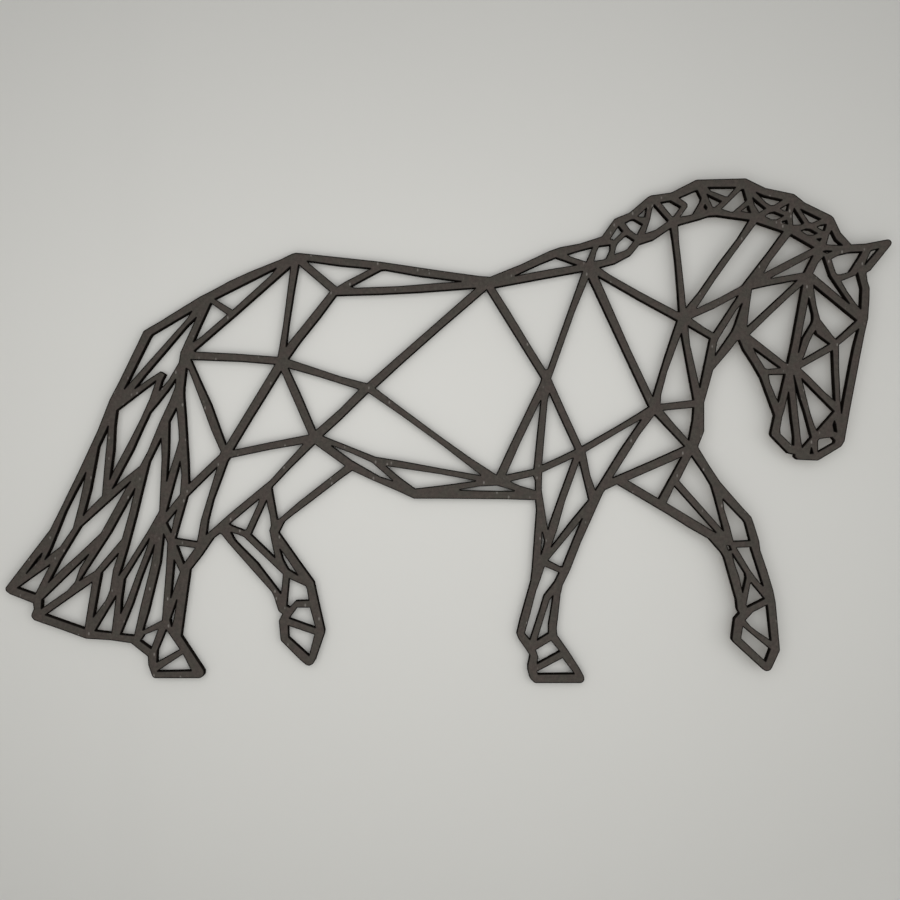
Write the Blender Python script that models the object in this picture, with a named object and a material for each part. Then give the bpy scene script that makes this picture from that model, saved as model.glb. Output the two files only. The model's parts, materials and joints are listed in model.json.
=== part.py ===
"""Geometric horse: a flat figure cut from one sheet, its body a web of straight bars.

Metres, +Z up, front face towards -Y, head towards +X. The back face lies in the
plane Y = 0 and the origin is on it, in the middle of the broad web at the back.
The figure is drawn as one outline and the windows cut through it, in drawing units
counted rightwards and downwards. One drawing unit becomes
FIGURE_LENGTH / DRAWN_LENGTH metres, so the whole drawing follows FIGURE_LENGTH.
The drawing gives the edge of the flat face, and the sheet reaches CUT_LIP beyond it.
"""

import math

import bmesh
import bpy
from mathutils import Vector
from mathutils.geometry import delaunay_2d_cdt

FIGURE_LENGTH = 0.400
SHEET_THICKNESS = 0.0030
CUT_LIP = 0.00012
OUTER_CORNER_RADIUS = 0.0018

DRAWN_LENGTH = 886.5
DRAWN_ORIGIN = (485.0, 282.5)
CORNER_STEPS = 3
TIP_REACH = 1.6

UNIT = FIGURE_LENGTH / DRAWN_LENGTH

# The outer edge, once round the figure from the tip of the tail over the back.
TAIL_EDGE = [
    (33, 603), (10, 594), (6, 591), (5.5, 588), (27, 560), (50, 530), (60, 510), (79.5, 470),
    (98, 430), (109.8, 399.7), (120.1, 380), (140.2, 338.6), (143.5, 331.4), (145.5, 330),
    (160, 321.6), (178.6, 310), (200, 296.8),
]
BACK_EDGE = [
    (212, 290.8), (230, 281), (250, 271.9), (280, 259.9), (292, 254), (296, 253),
    (301, 253.4), (340, 257.6), (380, 261.9), (440, 270.8), (480, 276.3), (490, 277), (500, 273),
    (520, 265), (550, 251), (560, 247.5),
]
MANE_EDGE = [
    (580, 243.8), (600.8, 237), (602.4, 236), (614.2, 219.5), (615.5, 218.6), (628.9, 213.2),
    (630.8, 211.9), (648, 197.2), (651.2, 195.6), (670, 193), (672.3, 192.3), (695.3, 180.5),
    (697.2, 179.9), (745.5, 178.6), (747, 179.2), (765.3, 188.2), (794, 194.2),
    (804.8, 202.8), (831, 215.6), (833.5, 217.8), (840.6, 232.8), (851.3, 244.6),
]
HEAD_EDGE = [
    (865.7, 243.8), (888, 239.5), (890.4, 240.3), (891.8, 242.9), (890.4, 245.5),
    (880, 258.4), (870.3, 270.4), (866.3, 272.7), (867.4, 281.3), (869.4, 287.6),
    (869.4, 297.4), (868, 318.3), (865, 331.7), (860.6, 353.4), (857.4, 370.6), (850, 409),
    (844.4, 441), (841.2, 446.4), (819.5, 459.5), (817.6, 460.5), (797.8, 459.5),
    (794.6, 456.6), (795.2, 454.6), (788.3, 453.1), (771.7, 435.9), (771, 433.4),
    (774.9, 415.5), (773.9, 412.3), (761, 377.6), (753.3, 364.2), (743.8, 349.6),
    (739.7, 340),
]
THROAT_EDGE = [
    (737, 341), (730, 350), (713, 370), (709, 385), (704, 402.5), (704, 431), (703, 434),
    (698, 446.5),
]
RAISED_FORELEG_EDGE = [
    (699, 449), (710, 467), (720, 482), (740, 505), (751.3, 517.3), (753.9, 524.5), (759, 541),
    (760.2, 550.4), (766.9, 570), (773.1, 590.5), (775.4, 602), (777.6, 625.4),
    (779.8, 650.4), (771.8, 667.8), (770, 670.4), (765.5, 671.3), (734.3, 642.8),
    (732, 639.6), (734.7, 618.7), (739.6, 613.3), (737.4, 609.3), (736.5, 600),
    (731.6, 582.5), (724.3, 557.3), (721.6, 552.8), (709.4, 539), (690, 528), (670, 515.4),
    (650, 503.5), (630, 491.8), (617, 484.2),
]
NEAR_FORELEG_EDGE = [
    (605, 490), (603, 493), (600, 499.5), (580.4, 543.2), (570, 570), (562.5, 585.2),
    (560.3, 595), (558, 615.7), (556.5, 628.2), (557.1, 635.4), (570, 653.7), (580, 669.3),
    (583.5, 676), (584.4, 680), (582, 682.9), (534.8, 682.9), (530, 678.3),
    (527.9, 670.2), (527.7, 666), (530, 655.5), (526.8, 650.5), (518.8, 639), (516.7, 634),
    (520, 620.2), (530.8, 581.6), (532.2, 570), (534.4, 540), (536.6, 510), (535.7, 500),
]
BELLY_EDGE = [
    (500, 499), (440, 498.5), (414, 498.5), (400, 492), (370, 479), (352, 470.5), (340, 479),
    (310, 502), (290, 517), (284, 522),
]
OFF_HIND_LEG_EDGE = [
    (278.6, 532.7), (300, 563), (313.8, 582), (318.8, 604.6), (324.6, 630.5), (324.1, 634),
    (318.8, 649.3), (315.2, 660), (313, 663.6), (309.4, 665.8), (306.3, 664.9), (300, 659.6),
    (280.8, 640.4), (279.9, 630.5), (279, 620.7), (280.8, 617), (282.6, 614), (278.6, 611),
    (274.4, 597.5), (271.8, 591.8), (260.4, 579.1), (240.4, 556.5), (229, 543.5), (221.6, 534.3),
]
NEAR_HIND_LEG_EDGE = [
    (219.3, 533.4), (213, 538.4), (201, 556), (190, 570), (181, 636), (204, 671), (204, 675.5), (200, 678),
    (153, 678), (148.5, 665), (148, 656.5), (131, 643), (110, 640), (86, 638.5), (60, 629),
    (34, 620), (31, 616), (34, 609),
]
OUTLINE = (
    TAIL_EDGE
    + BACK_EDGE
    + MANE_EDGE
    + HEAD_EDGE
    + THROAT_EDGE
    + RAISED_FORELEG_EDGE
    + NEAR_FORELEG_EDGE
    + BELLY_EDGE
    + OFF_HIND_LEG_EDGE
    + NEAR_HIND_LEG_EDGE
)

# The windows cut through the sheet, by region.
HINDQUARTER_WINDOWS = [
    [(214.5, 299), (276.5, 268), (270, 276), (232.5, 310), (217, 300.5)],
    [(210.5, 303), (227, 314.5), (201, 337), (193, 342), (200, 326)],
    [(290.5, 266.5), (288.7, 282), (283.2, 325), (277.7, 357), (235, 353.8), (195, 351.8),
     (193.8, 350.8), (240, 311)],
    [(298.5, 264.5), (330, 291.5), (300, 329), (288.5, 343), (286, 347), (288.5, 325), (294, 290)],
    [(190.5, 359.5), (240, 361.3), (275, 364.3), (226.3, 444.3), (225.5, 445), (211, 405),
     (200, 381)],
    [(281, 371), (308.8, 434.8), (270, 442.4), (232.7, 450.1), (250, 421), (265, 397)],
    [(229.5, 458), (270, 449.5), (303, 444), (270.4, 480.3), (262.4, 486.8), (230.3, 513.3), (206, 534.8),
     (208, 520), (213, 500), (220.5, 480), (227, 462)],
    [(314.5, 444), (345, 466), (300, 501), (279, 519), (277, 519.5), (271.5, 489), (272, 487),
     (290, 468)],
]
BACK_WINDOWS = [
    [(307, 261), (340, 265.5), (371, 268.5), (345, 282), (337, 287), (310, 264.5)],
    [(350.5, 286.5), (381, 270), (385, 269.7), (420, 276), (462, 281.5), (440, 283), (400, 286.3),
     (355, 288)],
    [(336, 295.3), (380, 294), (420, 292), (476, 288), (473, 290.5), (440, 319.5), (400, 354.5),
     (367, 383.5), (340, 376.4), (288, 359), (300, 342), (320, 317)],
    [(514.5, 276), (540, 264), (556, 257.5), (577, 265), (555, 268.5), (525, 274)],
]
BELLY_WINDOWS = [
    [(288, 368), (320, 377), (359, 389.5), (340, 409), (315.5, 430.5), (300, 394)],
    [(368, 392.5), (400, 414.5), (440, 443.5), (481, 475.5), (440, 468.5), (400, 461), (375, 457),
     (345, 445), (322.5, 436), (340, 420)],
    [(331, 445.5), (350, 452.5), (372, 462.5), (393, 481), (380, 477), (352, 461)],
    [(386, 466), (410, 469.5), (440, 474), (476, 481), (440, 486), (415, 489), (400, 478)],
    [(459, 490), (480, 486.3), (497, 485.5), (515, 491), (497, 491.3), (480, 491)],
    [(510.5, 481.5), (533.5, 476), (535.5, 481), (535.5, 490.5), (520, 486)],
]
SHOULDER_WINDOWS = [
    [(486.7, 289.5), (541.8, 378.3), (540.8, 382), (510, 446), (496.5, 475), (470, 457.8),
     (440, 436.5), (400, 406.9), (375, 388), (400, 365), (440, 329.5)],
    [(494.5, 287.5), (540, 279), (582.8, 271.2), (548.2, 368.5), (545.5, 370), (530, 345),
     (510, 312)],
    [(541, 400), (538, 430), (534, 469), (506, 475), (520, 443)],
    [(549.5, 393), (560, 416), (575.5, 449.5), (560, 457), (542, 465), (544, 440), (547.5, 401)],
    [(542, 472.5), (573.5, 458), (560, 495), (550, 523), (548, 530), (545, 512), (541.5, 490)],
    [(588.8, 278), (575, 311), (551, 378.5), (564.2, 408), (582, 446.6), (600, 436.3),
     (620, 424.8), (640, 412.6), (649.2, 406.8)],
    [(598, 276), (640, 300), (677.5, 320.5), (665, 358), (653, 397), (630, 349)],
]
BREAST_WINDOWS = [
    [(681.5, 333), (688, 368), (694, 400), (660.5, 404), (661, 395), (667, 372)],
    [(663, 410.5), (694, 407.5), (693, 420), (689, 440.5), (675, 425)],
    [(655, 414.5), (685, 446.3), (650, 462), (612.5, 478), (630, 450), (640, 434)],
    [(585.5, 452), (620, 431.5), (641.5, 419.5), (620, 451), (595.5, 490.5), (590, 475)],
    [(579.5, 461.5), (589, 500), (570, 523), (551, 547.5), (557, 530), (565, 501)],
]
NECK_WINDOWS = [
    [(599.5, 267.5), (615, 263.5), (631, 255), (640, 244), (654, 239.5), (671, 228), (673, 240),
     (675.5, 260), (678, 290), (679.5, 312), (676, 311), (640, 292), (610, 275)],
    [(678, 225), (700, 219), (709, 216), (717, 215.5), (749.5, 220), (739, 237), (720, 262),
     (700, 291), (686, 308), (684.5, 292), (681, 260), (679, 243)],
    [(757, 222.5), (783.5, 231.5), (770, 250), (743, 285), (720, 297.5), (696.5, 308.5),
     (715, 280), (735, 252)],
    [(691.5, 318.5), (715, 308), (738.5, 295.5), (714, 333), (705, 328)],
    [(688, 325.5), (710.5, 338.5), (706, 360), (700, 388), (690, 345)],
]
TAIL_WINDOWS = [
    [(192, 311), (186, 320), (133, 379.5), (124, 389.5), (150, 337), (152, 334.5), (174, 321.5)],
    [(196.5, 317), (190.2, 331.4), (180.5, 352.5), (179, 362.5), (169, 379.5), (159, 391),
     (161.5, 381.5), (165, 374.5), (160.7, 371.6), (150, 378.5), (134.4, 389), (144.6, 375.6),
     (166.5, 350), (187.5, 325.2)],
    [(156, 380.5), (149.5, 399.5), (140, 420.5), (129.5, 441), (114, 470), (109.5, 480),
     (113.4, 450), (114.5, 426), (116.5, 410.5)],
    [(175.7, 378.8), (175.2, 387), (169.6, 401), (160, 421.6), (148, 451), (140, 466), (120, 482),
     (112, 489), (132.6, 450), (141, 431), (149.6, 412.7), (157, 404), (168, 390)],
    [(176.2, 407.8), (177, 413), (178.6, 430), (179, 440), (176.3, 450), (170, 470), (166.5, 482),
     (168.3, 450), (168.8, 421.6)],
    [(161, 438), (149, 462), (142, 490), (136, 515), (128, 545), (122, 565), (118.5, 576),
     (128, 563), (148, 531), (159.3, 511), (160.8, 480), (161.7, 460)],
    [(108.3, 425.5), (98, 447), (90, 490), (83, 516), (88, 510), (102, 496), (105, 460)],
    [(118.5, 553), (101, 573), (96, 600), (93, 617.5), (106, 600), (110, 590), (113, 570)],
    [(94.5, 631), (116, 595.5), (111.5, 633)],
    [(135, 488), (110, 533), (79, 581), (95, 571), (122, 539), (130, 510)],
    [(45, 615), (92, 582), (84.5, 629)],
    [(89, 554), (41.5, 600), (41, 609), (67, 591), (75, 582), (80, 568)],
    [(131, 481), (110, 500), (80, 527), (60, 560), (48, 583), (60, 571), (80, 553), (101, 533),
     (126, 488)],
    [(86, 472), (75, 492), (65, 512), (57, 532), (50, 549), (44.5, 560), (52, 553), (60, 547),
     (73, 528), (79, 505)],
    [(17, 588), (50, 564.5), (35, 594.5)],
    [(25.5, 574.5), (36, 559.5), (42.2, 552.8), (40.3, 558.5), (31.5, 568.3)],
]
NEAR_HIND_LEG_WINDOWS = [
    [(186, 368), (183.7, 388), (183.6, 396), (185.3, 418), (188, 462), (188.7, 484), (191, 481.8),
     (219.7, 454.6), (220.7, 451.5), (211.3, 430), (200.8, 401.4), (188.8, 370)],
    [(180, 461), (166, 512), (180, 494.5), (181.5, 475)],
    [(177, 509.5), (166, 523), (171, 533), (174, 518)],
    [(187, 496.5), (217, 467), (201, 520), (197, 542), (175, 538.5)],
    [(176.5, 545.5), (195, 548), (183.5, 564)],
    [(174, 559.5), (170.5, 598.5), (180, 572)],
    [(177, 599), (169.5, 620), (171.5, 627), (174, 618)],
    [(149.5, 538), (124, 579.5), (121, 600), (120.5, 614), (127, 600), (137, 573), (146, 550)],
    [(154.5, 544), (142, 575), (132, 605), (120, 634.5), (134, 636), (141, 605), (151, 565)],
    [(163.5, 533.5), (160, 563), (148, 612), (142.5, 630.5), (162, 620.5), (166, 570),
     (167.5, 543)],
    [(144, 635), (158, 629.5), (151, 649), (140, 641)],
    [(166, 629.5), (157, 651), (156.5, 662.5), (180, 649.5)],
    [(157, 671.5), (183, 654), (191.5, 671)],
]
OFF_HIND_LEG_WINDOWS = [
    [(229, 524), (259, 499), (258, 504), (246.5, 529), (244, 530.5), (232, 526)],
    [(266.5, 500), (267.5, 506), (270, 516), (271, 525.5), (269.5, 530.5), (271.5, 541),
     (275, 558), (250.5, 534.5)],
    [(230.4, 532.2), (238.5, 534.5), (244, 537), (283, 574.2), (281.7, 589), (280.8, 594),
     (270, 580), (257, 563), (240, 546), (234.4, 540)],
    [(279.5, 548.7), (283.5, 553.5), (298, 575.5), (288, 569.5), (283, 560.5)],
    [(289, 578.5), (305.5, 586), (307, 589), (309, 600.5), (295.5, 601), (289.5, 607.5),
     (286.5, 606)],
    [(297, 607.5), (310, 607.5), (315.5, 628), (289, 618.5)],
    [(288, 625.5), (314.5, 634.5), (309, 656), (288.5, 637.5)],
]
NEAR_FORELEG_WINDOWS = [
    [(542.2, 531.5), (544.8, 541), (544, 546), (541, 555), (541.8, 540)],
    [(582.5, 518), (573, 541), (562.5, 567), (560.5, 567), (548, 560.5), (560, 546), (577, 525.5)],
    [(544.6, 566.4), (559.4, 572.7), (554.5, 582.5), (544, 596), (540.2, 609), (530, 640),
     (524.6, 633.5), (530.4, 613), (536, 591), (540.2, 579.8)],
    [(553.2, 595.5), (551, 610), (548.5, 625), (548.5, 633.5), (537, 640.5), (543.5, 619),
     (549.5, 600)],
    [(535.7, 650), (551, 640.7), (560, 651.5), (537, 664), (538.2, 657)],
    [(537, 671.5), (562.5, 658), (574.5, 674), (538, 674.5)],
]
RAISED_FORELEG_WINDOWS = [
    [(628, 480.5), (682, 457), (659, 499)],
    [(666.5, 503), (674.6, 485.8), (716.5, 533)],
    [(691.8, 455.5), (704, 473), (711.5, 485.5), (715, 497), (723.8, 531.3), (720, 527),
     (679, 480.8), (690, 459)],
    [(722.9, 498.8), (743.2, 519.8), (745.5, 523), (750.3, 540.8), (733.5, 541.5), (729.8, 527),
     (724, 509)],
    [(736.5, 547.7), (751, 547), (763.5, 586.3), (759.3, 582.5), (750.4, 571)],
    [(726.6, 545.6), (730, 545.8), (731.8, 550), (728.6, 550.6)],
    [(732.3, 553.3), (745.6, 573.8), (746.4, 578), (742.8, 593), (739.2, 577), (734.3, 563)],
    [(751.2, 582.3), (764.8, 598.8), (747.5, 607.5), (746.3, 604.8), (750, 585)],
    [(767.5, 604.8), (771.2, 640.8), (757, 631.5), (750.4, 626.3), (745.4, 620.3), (753, 612)],
    [(743, 626.5), (770.5, 649.3), (765.8, 661.8), (741, 638.5)],
]
MANE_WINDOWS = [
    [(567.3, 254.4), (580, 250.5), (592.7, 247.2), (586.5, 262), (571, 257)],
    [(599.3, 246), (610.3, 244.6), (610.2, 250), (606.5, 258), (604, 259.5), (594.2, 261.2),
     (596.4, 252)],
    [(618.7, 226), (623, 231.2), (613.8, 240), (610.2, 239)],
    [(625, 223), (631.4, 219.6), (634.2, 219.3), (642.7, 224.2), (637.3, 234.3), (635.8, 234.3),
     (630, 229.8)],
    [(637.8, 216.2), (646.8, 207.8), (645.2, 217), (641, 217)],
    [(625.3, 236), (627.2, 235.6), (634.3, 240.3), (627.5, 249), (625.5, 250.3), (614.5, 254.3),
     (616, 247), (618, 243)],
    [(654.3, 204.5), (668.3, 220.3), (667, 222), (655.7, 230), (645.3, 233.5), (650, 219.7),
     (652, 209)],
    [(660.6, 202.4), (670.6, 200.6), (681, 206.5), (673.8, 216.5), (672, 216.5)],
    [(679, 197.8), (695.5, 190.6), (697.5, 190.4), (701.3, 198), (700.7, 201), (693.3, 213.6),
     (691.3, 215), (680.3, 216.8), (687.3, 207), (687.3, 204.3), (685.7, 202.5)],
    [(705, 204.3), (707.2, 207.5), (706.2, 210), (703.8, 207.3)],
    [(706.7, 194), (721.8, 201.2), (714.5, 207.3), (712.5, 206.8), (709, 199)],
    [(707.8, 187.3), (735.8, 187.2), (728, 196.5), (725.5, 196.6), (711, 191)],
    [(741.8, 189.3), (743.7, 189.3), (746.8, 200), (733, 212), (730.8, 212), (721.8, 209)],
    [(741.2, 211.2), (748.5, 205.6), (751, 212.8)],
    [(752.6, 197.5), (766, 208.3), (759, 212.4), (754.4, 204.4)],
    [(756, 192.2), (765, 195.8), (782.5, 199.8), (774, 205.3), (771, 205.5), (766.5, 203)],
    [(765.3, 216.3), (770.2, 212.6), (774.6, 211.8), (784, 215.7), (776, 219.8), (771, 219.5)],
    [(780.3, 208.5), (789, 203.7), (787.6, 210.8), (784, 210.8)],
    [(781.5, 221.8), (787, 220), (787.8, 224.3)],
    [(794.2, 208), (804, 223), (801, 224.8), (793, 225), (792.4, 214.5)],
    [(800.5, 209), (821.2, 219), (812, 223), (809, 222)],
    [(817, 227), (821.4, 224.9), (826.5, 224.2), (824.8, 230.6), (822.5, 230.5)],
    [(801, 230.8), (806, 228.8), (810.5, 229.2), (817.5, 233.3), (812, 235.3), (807, 234.8)],
    [(816.7, 239), (821.5, 238.4), (819.8, 241.3)],
    [(831.6, 230.4), (836.3, 239.5), (842.8, 245.4), (826.3, 244.6), (829, 235)],
    [(823, 251.6), (826, 250.5), (832.3, 251.1), (827.2, 253.2)],
]
HEAD_WINDOWS = [
    [(824, 256.3), (830.6, 275.5), (837.7, 286), (849.8, 304), (839.5, 296), (813, 273.5),
     (818, 263)],
    [(831.3, 259.2), (840, 254.6), (850.2, 252.2), (862.3, 251.6), (860, 256), (850.3, 271),
     (848.5, 272.2), (840.4, 274.5), (837.3, 274.5), (835.6, 272.5)],
    [(841.2, 281), (856, 275), (857.8, 272.5), (862, 288), (861, 309.3), (855.9, 303.8),
     (847.3, 291.7)],
    [(871, 250.6), (879, 248.6), (864.8, 265)],
    [(813.6, 284.8), (857.2, 320.3), (847.8, 329), (836.2, 339.5), (834, 337.5), (820, 319.3),
     (818, 312), (816.3, 304.8), (814, 290)],
    [(808.9, 297.3), (813.2, 314), (813.3, 319), (812.7, 322), (803, 338.5), (798.2, 354),
     (801, 338), (803.1, 326.5), (807.6, 304.2)],
    [(803, 284.8), (799, 307.4), (795.7, 325.3), (792.7, 342), (788, 363.7), (785, 362.5),
     (749.7, 334.8), (770, 315), (790, 296.2), (800, 287.6)],
    [(752, 289), (770, 285), (790, 281.2), (797.3, 280.3), (790, 287.5), (770, 306),
     (747.3, 327), (748, 318), (750.2, 301)],
    [(770.5, 278.3), (790, 267.9), (810.8, 256.7), (813.2, 255.5), (804.8, 272.2), (790, 275)],
    [(791.5, 234.3), (814, 247.3), (790, 259.6), (764, 273), (770, 262), (789.5, 236.5)],
    [(742.4, 303.3), (735.6, 324), (732.7, 330.8), (715.2, 355.9), (715.5, 351.8), (716.8, 343),
     (718.7, 338.4), (736.3, 310)],
    [(753.5, 348), (780.7, 367.8), (768, 369.2), (765.3, 368.6), (756.6, 355)],
    [(768.5, 374.6), (785.4, 374.2), (778.7, 402.5), (776, 397.5), (770, 383)],
    [(788.6, 391.5), (790, 401), (791.6, 417.5), (794, 436), (794, 445.5), (791, 444.5),
     (780.4, 434), (780, 429.5), (782, 417.4), (785.2, 406.6)],
    [(793.7, 374.2), (797.5, 387.4), (800.2, 397.6), (805, 412.3), (811.7, 437.2),
     (802.3, 447.8), (801, 441), (797.2, 406), (795, 385)],
    [(801.7, 378.3), (820, 396.8), (834.5, 411.3), (817, 431), (814.4, 425.7), (810, 412.3),
     (803.8, 387.4)],
    [(834.5, 420.6), (836, 424.5), (837, 432.3), (834, 431.3), (832.8, 425)],
    [(817.8, 441), (819.5, 439), (826.5, 437.8), (832.3, 437.4), (835.2, 440.5), (834.6, 442.8),
     (818, 452)],
    [(811.5, 447.3), (813.4, 453.5), (810, 453.8)],
    [(838.8, 345), (859, 328.7), (854.5, 346), (851, 363), (844.2, 399.3), (841.5, 414),
     (840.2, 399), (838.9, 367)],
    [(800.5, 368.3), (820, 357.4), (832.7, 350.5), (833.8, 374.6), (835.2, 401.2), (825.5, 393),
     (810.2, 377.5)],
    [(815.7, 330.3), (817, 334), (830.2, 343.8), (802.5, 359.8), (804, 356.5), (809.6, 341.3),
     (813, 334.2)],
]
WINDOWS = (
    HINDQUARTER_WINDOWS
    + BACK_WINDOWS
    + BELLY_WINDOWS
    + SHOULDER_WINDOWS
    + BREAST_WINDOWS
    + NECK_WINDOWS
    + TAIL_WINDOWS
    + NEAR_HIND_LEG_WINDOWS
    + OFF_HIND_LEG_WINDOWS
    + NEAR_FORELEG_WINDOWS
    + RAISED_FORELEG_WINDOWS
    + MANE_WINDOWS
    + HEAD_WINDOWS
)


def clear_scene():
    for old in list(bpy.data.objects):
        bpy.data.objects.remove(old, do_unlink=True)


def placed(point):
    """Drawing units to metres in the plane of the sheet."""
    across = (point[0] - DRAWN_ORIGIN[0]) * UNIT
    up = (DRAWN_ORIGIN[1] - point[1]) * UNIT
    return Vector((across, up))


def signed_area(loop):
    total = 0.0
    for here, there in zip(loop, loop[1:] + loop[:1]):
        total += here.x * there.y - there.x * here.y
    return total / 2


def anticlockwise(loop):
    return loop if signed_area(loop) > 0 else loop[::-1]


def grown(loop, amount):
    """The loop moved outwards by amount; sharp corners move TIP_REACH times it at most."""
    loop = anticlockwise(loop)
    moved = []
    for index, here in enumerate(loop):
        before = (here - loop[index - 1]).normalized()
        after = (loop[(index + 1) % len(loop)] - here).normalized()
        normal_before = Vector((before.y, -before.x))
        normal_after = Vector((after.y, -after.x))
        middle = normal_before + normal_after
        if middle.length < 1e-6:
            middle = before.copy()
        middle.normalize()
        reach = 1.0 / max(middle.dot(normal_after), 1e-6)
        moved.append(here + middle * amount * min(reach, TIP_REACH))
    return moved


def rounded(loop, radius):
    """The loop with its outward corners rounded by up to radius."""
    loop = anticlockwise(loop)
    points = []
    for index, here in enumerate(loop):
        before = here - loop[index - 1]
        after = loop[(index + 1) % len(loop)] - here
        turn = math.atan2(before.cross(after), before.dot(after))
        if turn < math.radians(12):
            points.append(here)
            continue
        reach = radius * math.tan(turn / 2)
        reach = min(reach, 0.45 * before.length, 0.45 * after.length)
        start = here - before.normalized() * reach
        end = here + after.normalized() * reach
        for step in range(CORNER_STEPS + 1):
            share = step / CORNER_STEPS
            points.append(
                start * (1 - share) ** 2 + here * 2 * share * (1 - share) + end * share ** 2
            )
    return points


def holds(loop, point):
    """Whether the point lies inside the loop, by counting crossings to its right."""
    inside = False
    for here, there in zip(loop, loop[1:] + loop[:1]):
        if (here.y > point.y) != (there.y > point.y):
            crossing = here.x + (point.y - here.y) * (there.x - here.x) / (there.y - here.y)
            if crossing > point.x:
                inside = not inside
    return inside


def sheet_triangles():
    """Points and triangles of the flat face: inside the outline, outside every window."""
    outer = rounded(grown([placed(point) for point in OUTLINE], CUT_LIP), OUTER_CORNER_RADIUS)
    windows = [grown([placed(point) for point in window], -CUT_LIP) for window in WINDOWS]
    points = []
    edges = []
    for loop in [outer] + windows:
        first = len(points)
        points.extend(loop)
        count = len(loop)
        edges.extend((first + step, first + (step + 1) % count) for step in range(count))
    found = delaunay_2d_cdt(points, edges, [], 0, 1e-7, False)
    flat_points, flat_faces = found[0], found[2]
    kept = []
    for face in flat_faces:
        middle = (flat_points[face[0]] + flat_points[face[1]] + flat_points[face[2]]) / 3
        pierced = any(holds(window, middle) for window in windows)
        if holds(outer, middle) and not pierced:
            kept.append(tuple(face))
    return flat_points, kept


def build_sheet(name, material):
    points, faces = sheet_triangles()
    mesh = bpy.data.meshes.new(name)
    shape = bmesh.new()
    front = [shape.verts.new((point.x, -SHEET_THICKNESS, point.y)) for point in points]
    back = [shape.verts.new((point.x, 0.0, point.y)) for point in points]
    sides = set()
    for face in faces:
        shape.faces.new([front[index] for index in face])
        shape.faces.new([back[index] for index in reversed(face)])
        sides.update(zip(face, face[1:] + face[:1]))
    for here, there in sorted(sides):
        if (there, here) not in sides:
            shape.faces.new([front[there], front[here], back[here], back[there]])
    loose = [vertex for vertex in shape.verts if not vertex.link_faces]
    bmesh.ops.delete(shape, geom=loose, context="VERTS")
    shape.to_mesh(mesh)
    shape.free()
    mesh.materials.append(material)
    sheet = bpy.data.objects.new(name, mesh)
    bpy.context.scene.collection.objects.link(sheet)
    return sheet


def stained_board():
    material = bpy.data.materials.new("stained_board")
    material.use_nodes = True
    shader = material.node_tree.nodes["Principled BSDF"]
    shader.inputs["Base Color"].default_value = (0.067, 0.058, 0.053, 1.0)
    shader.inputs["Roughness"].default_value = 0.62
    shader.inputs["Metallic"].default_value = 0.0
    return material


clear_scene()
build_sheet("horse", stained_board())
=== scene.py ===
"""Looks of the geometric horse: a stained sheet cut through into bars, with charred cut edges.

The file is laid out as an add-on and run as a script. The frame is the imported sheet,
in metres, +Z up, front face towards -Y and the back face in the plane Y = 0.
"""

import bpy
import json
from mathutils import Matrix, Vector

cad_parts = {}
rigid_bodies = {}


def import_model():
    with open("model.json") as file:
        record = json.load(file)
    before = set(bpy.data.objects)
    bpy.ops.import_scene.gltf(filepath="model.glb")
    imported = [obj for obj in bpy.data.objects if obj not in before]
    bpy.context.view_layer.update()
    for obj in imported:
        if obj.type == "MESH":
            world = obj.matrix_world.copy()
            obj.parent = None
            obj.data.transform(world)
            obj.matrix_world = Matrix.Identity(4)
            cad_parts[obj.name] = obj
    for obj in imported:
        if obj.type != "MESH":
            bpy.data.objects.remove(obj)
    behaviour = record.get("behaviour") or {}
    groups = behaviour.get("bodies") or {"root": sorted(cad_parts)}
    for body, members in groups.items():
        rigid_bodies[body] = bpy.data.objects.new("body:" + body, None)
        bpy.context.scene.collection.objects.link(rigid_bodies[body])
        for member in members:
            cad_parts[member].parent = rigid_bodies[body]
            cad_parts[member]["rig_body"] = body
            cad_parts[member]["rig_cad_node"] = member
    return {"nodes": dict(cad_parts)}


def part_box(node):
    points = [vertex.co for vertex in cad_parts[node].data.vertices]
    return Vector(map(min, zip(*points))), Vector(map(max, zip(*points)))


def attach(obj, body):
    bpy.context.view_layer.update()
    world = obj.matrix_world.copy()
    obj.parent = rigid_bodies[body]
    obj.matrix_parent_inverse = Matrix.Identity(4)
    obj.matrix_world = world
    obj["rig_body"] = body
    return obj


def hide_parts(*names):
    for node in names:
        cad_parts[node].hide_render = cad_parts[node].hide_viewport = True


bl_info = {
    "name": "Cut Sheet Horse",
    "version": (1, 0, 0),
    "blender": (4, 5, 0),
    "location": "3D View > Sidebar > Cut Horse",
    "description": "Finishes a horse cut from stained board and sets its pale backdrop",
    "category": "Object",
}

import json
import math

import bpy
from bpy.props import FloatProperty, FloatVectorProperty, PointerProperty
from mathutils import Vector

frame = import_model()

NODE = "horse"
CAD_LOW, CAD_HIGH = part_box(NODE)

# The sheet's mesh. A face counts as a flat side when its normal's Y is beyond FLAT_LIMIT.
MERGE_DISTANCE = 0.000002
FLAT_LIMIT = 0.9
CORNER_LIMIT = math.radians(25)
SMOOTH_LIMIT = math.radians(40)
BEAM_SEGMENTS = 3

# The mesh attribute edge_fade is 0 at the cut, LIP_FADE where the lip ends and 1 past the scorch
# band. The face stays charred up to CHAR_REACH and is clean stain at 1.
LIP_FADE = 0.1
CHAR_REACH = 0.42

# The stain: how far its tone drifts, how many cells of the back have a fleck, how the flecks lie
# and look, its two tints as ramp stops, and the depth of its relief.
FRONT_DRIFT = 0.05
BACK_DRIFT = 0.10
BACK_FLECKS = 0.1
FLECK_TURN = (0.0, math.radians(25), 0.0)
FLECK_STRETCH = (1.0, 1.0, 0.5)
FLECK_COLOUR = (0.27, 0.25, 0.23, 1.0)
TINTS = ((0.36, (1.055, 0.99, 0.985, 1.0)), (0.64, (0.96, 1.015, 0.965, 1.0)))
FIBRE_DEPTH = 0.00005

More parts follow.
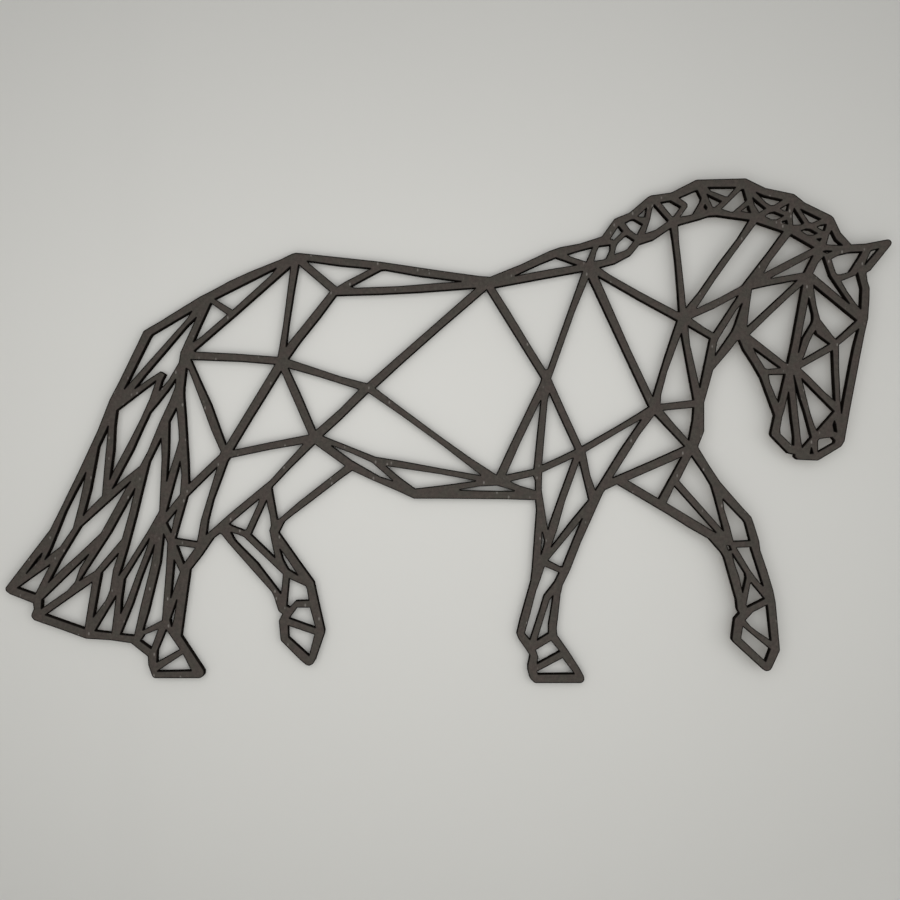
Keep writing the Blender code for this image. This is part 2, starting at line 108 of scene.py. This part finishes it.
# The charred walls: tones as multiples of the char colour, and the furrows.
DARK_CHAR = (0.8, 0.8, 0.8)
LIGHT_CHAR = (3.4, 3.2, 3.0)
FURROW_STRETCH = (1.0, 0.08, 1.0)
FURROW_DEPTH = 0.00008

# The backdrop: its gap to the sheet, the darker share of its faint cloud, the painted pool of light
# in its own coordinates (painted light in its middle, painted shade towards its edges), and where
# each step of its fall starts, as a side (1 head, -1 tail) and a distance along X from the origin.
BACKDROP_GAP = 0.0002
BACKDROP_COLUMNS = 120
CLOUD_TONE = (0.985, 0.985, 0.985)
PAINTED_POOL_CENTRE = (-0.05, -0.10, 0.0)
PAINTED_POOL_SPREAD = (0.85, 0.5, 0.5)
FALL_STEPS = ((1, 0.07), (1, 0.08), (1, 0.09), (1, 0.10), (-1, 0.16))
FLOOR_SIZE = 3.0

# The view, as X and Z of its middle and its width at the front face.
VIEW_CENTRE = (-0.0158, -0.0756)
VIEW_WIDTH = 0.4061
SENSOR_WIDTH = 36.0
CLIP_START = 0.01

# The lights: name, place, target, size and power.
FIGURE_MIDDLE = (VIEW_CENTRE[0], 0.0, VIEW_CENTRE[1])
PANEL_TARGET = (-0.05, 0.0, -0.10)
LIGHTS = (
    ("near_panel", (PANEL_TARGET[0], -0.36, PANEL_TARGET[2]), PANEL_TARGET, 0.70, 1.15),
    ("side_light", (0.9, -0.7, -0.1), FIGURE_MIDDLE, 0.7, 1.4),
    ("back_light", (FIGURE_MIDDLE[0], 1.0, FIGURE_MIDDLE[2] + 0.1), FIGURE_MIDDLE, 0.4, 7.0),
)
ROOM_COLOUR = (1.0, 1.0, 0.99, 1.0)
ROOM_STRENGTH = 0.33


class SheetSettings(bpy.types.PropertyGroup):
    """Sizes and colours of the cut sheet."""

    lip_width: FloatProperty(
        name="Lip width",
        description="How far the cut edge is rounded over at the front and back face",
        default=0.00012,
        min=0.00002,
        unit="LENGTH",
        precision=5,
    )
    beam_radius: FloatProperty(
        name="Beam radius",
        description="Radius that the cutting beam leaves in a window's corner",
        default=0.00005,
        min=0.00001,
        unit="LENGTH",
        precision=5,
    )
    scorch_width: FloatProperty(
        name="Scorch width",
        description="How far the darkening beside a cut runs into the face",
        default=0.00040,
        min=0.0001,
        unit="LENGTH",
        precision=5,
    )
    face_colour: FloatVectorProperty(
        name="Face colour",
        description="Stain on the flat front face",
        subtype="COLOR",
        default=(0.0620, 0.0520, 0.0447),
        min=0.0,
        max=1.0,
    )
    back_colour: FloatVectorProperty(
        name="Back colour",
        description="Plainer stain on the flat back face",
        subtype="COLOR",
        default=(0.0950, 0.0780, 0.0640),
        min=0.0,
        max=1.0,
    )
    char_colour: FloatVectorProperty(
        name="Char colour",
        description="Burnt cut walls",
        subtype="COLOR",
        default=(0.0045, 0.0038, 0.0033),
        min=0.0,
        max=1.0,
    )
    fleck_amount: FloatProperty(
        name="Fleck amount",
        description="How many pale fibres and dust flecks show in the stain",
        default=0.25,
        min=0.0,
        max=1.0,
        subtype="FACTOR",
    )


class StageSettings(bpy.types.PropertyGroup):
    """The backdrop, the floor and the camera."""

    backdrop_size: FloatProperty(
        name="Backdrop size",
        description="Side of the square pale board behind the figure",
        default=1.2,
        min=0.5,
        unit="LENGTH",
    )
    fall_step: FloatProperty(
        name="Fall step",
        description="How far each step of the backdrop falls away behind the figure's ends",
        default=0.0008,
        min=0.0,
        unit="LENGTH",
        precision=5,
    )
    floor_drop: FloatProperty(
        name="Floor drop",
        description="Height of the sheet's origin above the floor",
        default=0.55,
        min=0.2,
        unit="LENGTH",
    )
    camera_distance: FloatProperty(
        name="Camera distance",
        description="From the camera to the front face",
        default=0.42,
        min=0.1,
        unit="LENGTH",
    )
    backdrop_colour: FloatVectorProperty(
        name="Backdrop colour",
        description="Pale matt surface behind the figure",
        subtype="COLOR",
        default=(0.72, 0.715, 0.686),
        min=0.0,
        max=1.0,
    )


def add_node(tree, kind, place, given=None, **values):
    """Add a node; given maps its inputs to output sockets, which are linked, or to constants."""
    node = tree.nodes.new(kind)
    node.location = place
    for name, value in values.items():
        setattr(node, name, value)
    for name, value in (given or {}).items():
        if isinstance(value, bpy.types.NodeSocket):
            tree.links.new(value, node.inputs[name])
        else:
            node.inputs[name].default_value = value
    return node


def add_noise(tree, place, vector, scale, detail, roughness=0.5):
    """Noise from 0 to 1 on the given coordinates."""
    given = {"Vector": vector, "Scale": scale, "Detail": detail, "Roughness": roughness}
    return add_node(tree, "ShaderNodeTexNoise", place, given).outputs["Fac"]


def add_range(tree, place, value, old=(0.0, 1.0), new=(0.0, 1.0), curve="LINEAR"):
    """Map a value from the old range to the new one, clamped at its ends."""
    given = {"Value": value, "From Min": old[0], "From Max": old[1], "To Min": new[0], "To Max": new[1]}
    node = add_node(tree, "ShaderNodeMapRange", place, given, interpolation_type=curve)
    return node.outputs["Result"]


def add_math(tree, place, operation, *terms):
    """Arithmetic on output sockets and plain numbers."""
    node = add_node(tree, "ShaderNodeMath", place, dict(enumerate(terms)), operation=operation)
    return node.outputs[0]


def add_scale(tree, place, colour, factor):
    """Multiply all channels of a colour by one factor."""
    given = {0: colour, "Scale": factor}
    return add_node(tree, "ShaderNodeVectorMath", place, given, operation="SCALE").outputs[0]


def add_mix(tree, place, factor, first, second, blend="MIX"):
    """Mix two colours."""
    given = {"Factor": factor, "A": first, "B": second}
    node = add_node(tree, "ShaderNodeMix", place, given, data_type="RGBA", blend_type=blend)
    return node.outputs["Result"]


def add_relief(tree, place, height, strength, distance):
    """Normal of a fine relief with the given height."""
    given = {"Height": height, "Strength": strength, "Distance": distance}
    return add_node(tree, "ShaderNodeBump", place, given).outputs["Normal"]


def object_coordinates(tree, place):
    return add_node(tree, "ShaderNodeTexCoord", place).outputs["Object"]


def tinted(colour, factors):
    """The colour with each channel multiplied by its own factor, and full alpha."""
    return (*(channel * factor for channel, factor in zip(colour, factors)), 1.0)


def fresh_material(name):
    """A new material with an empty node tree."""
    material = bpy.data.materials.new(name)
    material.use_nodes = True
    material.node_tree.nodes.clear()
    return material, material.node_tree


def add_shader(tree, given):
    """The material's own shader, with the given inputs."""
    return add_node(tree, "ShaderNodeBsdfPrincipled", (300, 0), given).outputs["BSDF"]


def add_surface(tree, shader):
    """Link the shader to the material's surface."""
    add_node(tree, "ShaderNodeOutputMaterial", (600, 0), {"Surface": shader})


def wear_group():
    """Group: stain with slow drift, fine fibre grain and pale flecks, plus its height."""
    group = bpy.data.node_groups.new("stained_fibre_face", "ShaderNodeTree")
    sockets = (
        ("Stain", "INPUT", "NodeSocketColor"),
        ("Drift", "INPUT", "NodeSocketFloat"),
        ("Flecks", "INPUT", "NodeSocketFloat"),
        ("Edge", "INPUT", "NodeSocketFloat"),
        ("Char", "INPUT", "NodeSocketColor"),
        ("Color", "OUTPUT", "NodeSocketColor"),
        ("Roughness", "OUTPUT", "NodeSocketFloat"),
        ("Height", "OUTPUT", "NodeSocketFloat"),
    )
    for name, way, kind in sockets:
        group.interface.new_socket(name, in_out=way, socket_type=kind)
    stain = add_node(group, "NodeGroupInput", (-1400, 0)).outputs
    place = object_coordinates(group, (-1400, -300))

    broad = add_noise(group, (-1100, 300), place, scale=55.0, detail=4.0)
    tint = add_noise(group, (-1100, 50), place, scale=240.0, detail=2.0)
    fibre = add_noise(group, (-1100, -200), place, scale=1700.0, detail=3.0, roughness=0.65)
    mottle = add_noise(group, (-1100, -900), place, scale=650.0, detail=2.0)

    swing = add_range(group, (-850, 300), broad, old=(0.30, 0.70), new=(-1.0, 1.0))
    drift = add_math(group, (-650, 300), "MULTIPLY_ADD", swing, stain["Drift"], 1.0)
    grain = add_range(group, (-850, -200), fibre, old=(0.30, 0.70), new=(0.80, 1.20))
    cloudy = add_range(group, (-850, -900), mottle, old=(0.32, 0.68), new=(0.82, 1.18))
    uneven = add_math(group, (-650, -300), "MULTIPLY", grain, cloudy)
    shade = add_math(group, (-450, 200), "MULTIPLY", drift, uneven)
    toned = add_scale(group, (-250, 250), stain["Stain"], shade)

    hue = add_node(group, "ShaderNodeValToRGB", (-650, 20), {"Fac": tint})
    for stop, (position, colour) in zip(hue.color_ramp.elements, TINTS):
        stop.position = position
        stop.color = colour
    warm = add_mix(group, (-50, 250), 1.0, toned, hue.outputs["Color"], blend="MULTIPLY")

    given = {"Vector": place, "Rotation": FLECK_TURN, "Scale": FLECK_STRETCH}
    stretch = add_node(group, "ShaderNodeMapping", (-1250, -500), given)
    given = {"Vector": stretch.outputs["Vector"], "Scale": 450.0}
    speck = add_node(group, "ShaderNodeTexVoronoi", (-1100, -500), given).outputs
    dot = add_range(
        group, (-850, -500), speck["Distance"], old=(0.07, 0.24), new=(1.0, 0.0), curve="SMOOTHSTEP"
    )
    given = {"Color": speck["Color"]}
    chance = add_node(group, "ShaderNodeSeparateColor", (-850, -700), given).outputs
    chosen = add_math(group, (-650, -700), "LESS_THAN", chance["Red"], stain["Flecks"])
    faint = add_math(group, (-450, -600), "MULTIPLY", dot, chosen)
    fleck = add_math(group, (-250, -600), "MULTIPLY", faint, chance["Green"])
    flecked = add_mix(group, (200, 200), fleck, warm, FLECK_COLOUR)

    burnt = add_mix(group, (500, 200), stain["Edge"], stain["Char"], flecked)
    rough = add_range(group, (500, -150), fibre, new=(0.52, 0.72))
    given = {"Factor": stain["Edge"], "A": 1.0, "B": rough}
    dull = add_node(group, "ShaderNodeMix", (800, -150), given, data_type="FLOAT")
    height = add_math(group, (500, -350), "MULTIPLY_ADD", fibre, 0.6, fleck)
    given = {"Color": burnt, "Roughness": dull.outputs["Result"], "Height": height}
    add_node(group, "NodeGroupOutput", (1200, 0), given)
    return group


def face_material(name, group, stain, char, drift, flecks):
    """Stained flat face that darkens to char at the cuts, by the mesh's edge_fade attribute."""
    material, tree = fresh_material(name)
    fade = add_node(tree, "ShaderNodeAttribute", (-600, -200), attribute_name="edge_fade")
    edge = add_range(
        tree, (-400, -200), fade.outputs["Fac"], old=(CHAR_REACH, 1.0), curve="SMOOTHSTEP"
    )
    given = {
        "Stain": (*stain, 1.0),
        "Char": (*char, 1.0),
        "Drift": drift,
        "Flecks": flecks,
        "Edge": edge,
    }
    stained = add_node(tree, "ShaderNodeGroup", (-150, 0), given, node_tree=group).outputs
    height = stained["Height"]
    given = {
        "Base Color": stained["Color"],
        "Roughness": stained["Roughness"],
        "Normal": add_relief(tree, (100, -300), height, strength=0.5, distance=FIBRE_DEPTH),
        "Specular IOR Level": 0.25,
    }
    add_surface(tree, add_shader(tree, given))
    return material


def wall_material(name, char):
    """Burnt cut wall, with fine furrows that run through the thickness."""
    material, tree = fresh_material(name)
    place = object_coordinates(tree, (-900, 0))
    given = {"Vector": place, "Scale": FURROW_STRETCH}
    squeeze = add_node(tree, "ShaderNodeMapping", (-700, 0), given).outputs["Vector"]
    furrow = add_noise(tree, (-500, 0), squeeze, scale=2600.0, detail=2.0)
    soot = add_noise(tree, (-500, -300), place, scale=180.0, detail=3.0)
    mixed = add_math(tree, (-250, 50), "MULTIPLY", furrow, soot)
    spread = add_range(tree, (-120, 100), mixed, old=(0.12, 0.42))
    tone = add_mix(tree, (0, 100), spread, tinted(char, DARK_CHAR), tinted(char, LIGHT_CHAR))
    given = {
        "Base Color": tone,
        "Roughness": add_range(tree, (0, -150), furrow, new=(0.55, 0.85)),
        "Normal": add_relief(tree, (100, -350), furrow, strength=0.6, distance=FURROW_DEPTH),
        "Specular IOR Level": 0.0,
    }
    add_surface(tree, add_shader(tree, given))
    return material


def select_only(thing):
    """Leave one object selected and active, so that operators touch nothing else."""
    if bpy.context.object is not None and bpy.context.object.mode != "OBJECT":
        bpy.ops.object.mode_set(mode="OBJECT")
    bpy.ops.object.select_all(action="DESELECT")
    thing.select_set(True)
    bpy.context.view_layer.objects.active = thing


def select_parts(sheet, kind, wanted):
    """Go to edit mode with the faces or edges selected for which wanted is true."""
    bpy.ops.object.mode_set(mode="EDIT")
    bpy.ops.mesh.select_mode(type=kind)
    bpy.ops.mesh.select_all(action="DESELECT")
    bpy.ops.object.mode_set(mode="OBJECT")
    parts = sheet.data.polygons if kind == "FACE" else sheet.data.edges
    for part in parts:
        part.select = wanted(part)
    bpy.ops.object.mode_set(mode="EDIT")


def keep_walls(sheet):
    """Merge the solid's loose triangles and leave only its cut walls, as upright quads."""
    select_parts(sheet, "FACE", lambda face: True)
    bpy.ops.mesh.remove_doubles(threshold=MERGE_DISTANCE)
    bpy.ops.mesh.customdata_custom_splitnormals_clear()
    select_parts(sheet, "FACE", lambda face: abs(face.normal.y) > FLAT_LIMIT)
    bpy.ops.mesh.delete(type="FACE")
    bpy.ops.mesh.select_all(action="SELECT")
    bpy.ops.mesh.tris_convert_to_quads()
    bpy.ops.object.mode_set(mode="OBJECT")


def window_corners(mesh):
    """Keys of the edges through the thickness where two walls of a window meet at an angle."""
    walls_at = {}
    for face in mesh.polygons:
        for key in face.edge_keys:
            walls_at.setdefault(key, []).append(face)
    corners = set()
    for key, walls in walls_at.items():
        if len(walls) != 2:
            continue
        one, two = walls
        facing = (two.center - one.center).dot(one.normal) > 0
        if facing and one.normal.angle(two.normal) > CORNER_LIMIT:
            corners.add(key)
    return corners


def close_side(sheet, level, inward, settings):
    """Fill one flat side between the walls, and give it its scorch band and rounded lip."""
    mesh = sheet.data

    def at_level(edge):
        ends = (mesh.vertices[index].co.y for index in edge.vertices)
        return all(abs(height - level) < MERGE_DISTANCE for height in ends)

    select_parts(sheet, "EDGE", at_level)
    bpy.ops.mesh.fill(use_beauty=True)
    bpy.ops.object.mode_set(mode="OBJECT")
    walls = [face for face in mesh.polygons if abs(face.normal.y) < FLAT_LIMIT]
    rim = {edge.key for edge in mesh.edges if at_level(edge)}
    rim &= {key for face in walls for key in face.edge_keys}

    select_parts(sheet, "FACE", lambda face: -face.normal.y * inward > FLAT_LIMIT)
    bpy.ops.mesh.inset(thickness=settings.lip_width, use_even_offset=True)
    bpy.ops.mesh.attribute_set(value_float=LIP_FADE)
    bpy.ops.mesh.inset(thickness=settings.scorch_width, use_even_offset=True)
    bpy.ops.mesh.attribute_set(value_float=1.0)
    select_parts(sheet, "EDGE", lambda edge: edge.key in rim)
    bpy.ops.transform.translate(value=(0.0, inward * settings.lip_width, 0.0))
    bpy.ops.object.mode_set(mode="OBJECT")


def build_sheet(settings):
    """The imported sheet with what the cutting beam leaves: blunt corners, lips, scorch bands."""
    select_only(frame["nodes"][NODE])
    bpy.ops.object.duplicate()
    sheet = bpy.context.object
    sheet.name = "cut_sheet"
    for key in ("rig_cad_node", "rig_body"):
        if key in sheet:
            del sheet[key]
    keep_walls(sheet)
    corners = window_corners(sheet.data)
    select_parts(sheet, "EDGE", lambda edge: edge.key in corners)
    bpy.ops.mesh.bevel(
        offset_type="WIDTH", offset=2 * settings.beam_radius, segments=BEAM_SEGMENTS
    )
    bpy.ops.object.mode_set(mode="OBJECT")
    fade = sheet.data.attributes.new("edge_fade", "FLOAT", "POINT")
    sheet.data.attributes.active = fade
    close_side(sheet, CAD_LOW.y, 1.0, settings)
    close_side(sheet, CAD_HIGH.y, -1.0, settings)
    return sheet


def give_finish(sheet, front, back, wall):
    """Stain on the two flat sides, char on everything between them."""
    sides = (
        (front, lambda face: face.normal.y < -FLAT_LIMIT),
        (back, lambda face: face.normal.y > FLAT_LIMIT),
        (wall, lambda face: abs(face.normal.y) <= FLAT_LIMIT),
    )
    sheet.data.materials.clear()
    for slot, (material, wanted) in enumerate(sides):
        sheet.data.materials.append(material)
        select_parts(sheet, "FACE", wanted)
        sheet.active_material_index = slot
        bpy.ops.object.material_slot_assign()
    bpy.ops.object.mode_set(mode="OBJECT")


class HORSE_OT_cut_sheet(bpy.types.Operator):
    """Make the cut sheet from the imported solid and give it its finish"""

    bl_idname = "cut_horse.sheet"
    bl_label = "Cut Sheet"

    def execute(self, context):
        settings = context.scene.cut_sheet_settings
        group = wear_group()
        face = tuple(settings.face_colour)
        behind = tuple(settings.back_colour)
        char = tuple(settings.char_colour)
        front = face_material("stained_front", group, face, char, FRONT_DRIFT, settings.fleck_amount)
        back = face_material("plain_back", group, behind, char, BACK_DRIFT, BACK_FLECKS)
        sheet = build_sheet(settings)
        give_finish(sheet, front, back, wall_material("charred_wall", char))
        bpy.ops.object.shade_smooth_by_angle(angle=SMOOTH_LIMIT)
        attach(sheet, "root")
        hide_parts(NODE)
        return {"FINISHED"}


def painted_light_pool(tree, place):
    """Painted light: a factor above 1 around the centre of a painted pool of light, falling below 1
    into painted shade away from it.
    """
    given = {"Vector": place, "Location": PAINTED_POOL_CENTRE, "Scale": PAINTED_POOL_SPREAD}
    centred = add_node(tree, "ShaderNodeMapping", (-700, -300), given, vector_type="TEXTURE")
    given = {"Vector": centred.outputs["Vector"]}
    pool = add_node(tree, "ShaderNodeTexGradient", (-500, -300), given, gradient_type="SPHERICAL")
    return add_range(tree, (-300, -300), pool.outputs["Fac"], old=(0.5, 1.0), new=(0.92, 1.17))


def clear_behind(tree, shader):
    """The shader on front faces only; a view from behind sees through the surface."""
    given = {
        "Fac": add_node(tree, "ShaderNodeNewGeometry", (300, 300)).outputs["Backfacing"],
        1: shader,
        2: add_node(tree, "ShaderNodeBsdfTransparent", (300, -300)).outputs["BSDF"],
    }
    return add_node(tree, "ShaderNodeMixShader", (450, 0), given).outputs["Shader"]


def pale_material(name, colour, one_sided):
    """Matt pale surface; one_sided adds the painted pool of light with painted shade towards the edges,
    and lets a view from behind through.
    """
    material, tree = fresh_material(name)
    place = object_coordinates(tree, (-900, 0))
    cloud = add_noise(tree, (-700, 0), place, scale=6.0, detail=3.0)
    tone = add_mix(tree, (-300, 0), cloud, tinted(colour, CLOUD_TONE), (*colour, 1.0))
    if one_sided:
        # Painted light and shade: the backdrop's colour is brightened in a pool and darkened away from
        # it.
        tone = add_scale(tree, (-100, -100), tone, painted_light_pool(tree, place))
    surface = add_shader(tree, {"Base Color": tone, "Roughness": 0.9, "Specular IOR Level": 0.2})
    if one_sided:
        surface = clear_behind(tree, surface)
    add_surface(tree, surface)
    return material


def sink_beyond(board, side, start, depth):
    """Move the part of the board that lies beyond start, towards side, back by depth."""
    mesh = board.data
    offset = board.location.x

    def beyond(edge):
        return all(side * (mesh.vertices[index].co.x + offset) > start for index in edge.vertices)

    select_parts(board, "EDGE", beyond)
    bpy.ops.transform.translate(value=(0.0, depth, 0.0))
    bpy.ops.object.mode_set(mode="OBJECT")


def build_backdrop(settings):
    """Upright pale board close behind the sheet, which falls away at the figure's ends."""
    height = settings.backdrop_size / 2 - settings.floor_drop
    bpy.ops.mesh.primitive_grid_add(
        x_subdivisions=BACKDROP_COLUMNS,
        y_subdivisions=2,
        size=settings.backdrop_size,
        location=(VIEW_CENTRE[0], BACKDROP_GAP, height),
        rotation=(math.pi / 2, 0.0, 0.0),
    )
    backdrop = bpy.context.object
    backdrop.name = "backdrop"
    for side, start in FALL_STEPS:
        sink_beyond(backdrop, side, start, settings.fall_step)
    bpy.ops.object.shade_smooth()
    backdrop.data.materials.append(
        pale_material("pale_backdrop", settings.backdrop_colour, one_sided=True)
    )
    backdrop.visible_shadow = False
    return backdrop


def build_floor(settings):
    """Level pale floor below the figure."""
    bpy.ops.mesh.primitive_plane_add(size=FLOOR_SIZE, location=(0.0, 0.0, -settings.floor_drop))
    floor = bpy.context.object
    floor.name = "floor"
    floor.data.materials.append(
        pale_material("pale_floor", settings.backdrop_colour, one_sided=False)
    )
    return floor


def add_light(name, place, target, size, power):
    """Soft square light that faces its target and isn't seen by the camera."""
    bpy.ops.object.light_add(type="AREA", location=place)
    lamp = bpy.context.object
    lamp.name = name
    lamp.data.shape = "SQUARE"
    lamp.data.size = size
    lamp.data.energy = power
    lamp.visible_camera = False
    lamp.rotation_euler = (Vector(target) - Vector(place)).to_track_quat("-Z", "Y").to_euler()


def light_room(scene):
    """Even light from all sides, as in a bright room."""
    world = bpy.data.worlds.new("soft_room")
    world.use_nodes = True
    background = world.node_tree.nodes["Background"]
    background.inputs["Color"].default_value = ROOM_COLOUR
    background.inputs["Strength"].default_value = ROOM_STRENGTH
    scene.world = world


def add_camera(scene, distance):
    """Camera square-on to the front face, with the photo's middle and width."""
    bpy.ops.object.camera_add(
        location=(VIEW_CENTRE[0], CAD_LOW.y - distance, VIEW_CENTRE[1]),
        rotation=(math.pi / 2, 0.0, 0.0),
    )
    camera = bpy.context.object
    camera.data.sensor_width = SENSOR_WIDTH
    camera.data.lens = SENSOR_WIDTH * distance / VIEW_WIDTH
    camera.data.clip_start = CLIP_START
    camera.data.dof.use_dof = False
    scene.camera = camera


class HORSE_OT_stage(bpy.types.Operator):
    """Set the pale backdrop and floor, the soft lights and the camera"""

    bl_idname = "cut_horse.stage"
    bl_label = "Stage"

    def execute(self, context):
        settings = context.scene.cut_stage_settings
        bpy.ops.object.select_all(action="DESELECT")
        backdrop = build_backdrop(settings)
        floor = build_floor(settings)
        for light in LIGHTS:
            add_light(*light)
        light_room(context.scene)
        add_camera(context.scene, settings.camera_distance)
        context.scene.view_settings.view_transform = "Standard"
        return {"FINISHED"}


class HORSE_PT_panel(bpy.types.Panel):
    """Sizes, colours and steps of the cut sheet horse"""

    bl_idname = "HORSE_PT_panel"
    bl_label = "Cut Sheet Horse"
    bl_space_type = "VIEW_3D"
    bl_region_type = "UI"
    bl_category = "Cut Horse"

    def draw(self, context):
        for group in (context.scene.cut_sheet_settings, context.scene.cut_stage_settings):
            for name in group.__annotations__:
                self.layout.prop(group, name)
        for step in STEPS:
            self.layout.operator(step.bl_idname)


STEPS = (HORSE_OT_cut_sheet, HORSE_OT_stage)
CLASSES = (SheetSettings, StageSettings, *STEPS, HORSE_PT_panel)


def register():
    for item in CLASSES:
        bpy.utils.register_class(item)
    bpy.types.Scene.cut_sheet_settings = PointerProperty(type=SheetSettings)
    bpy.types.Scene.cut_stage_settings = PointerProperty(type=StageSettings)


def unregister():
    del bpy.types.Scene.cut_stage_settings
    del bpy.types.Scene.cut_sheet_settings
    for item in reversed(CLASSES):
        bpy.utils.unregister_class(item)


def main():
    register()
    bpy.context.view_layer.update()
    for step in STEPS:
        group, name = step.bl_idname.split(".")
        getattr(getattr(bpy.ops, group), name)()


if __name__ == "__main__":
    main()
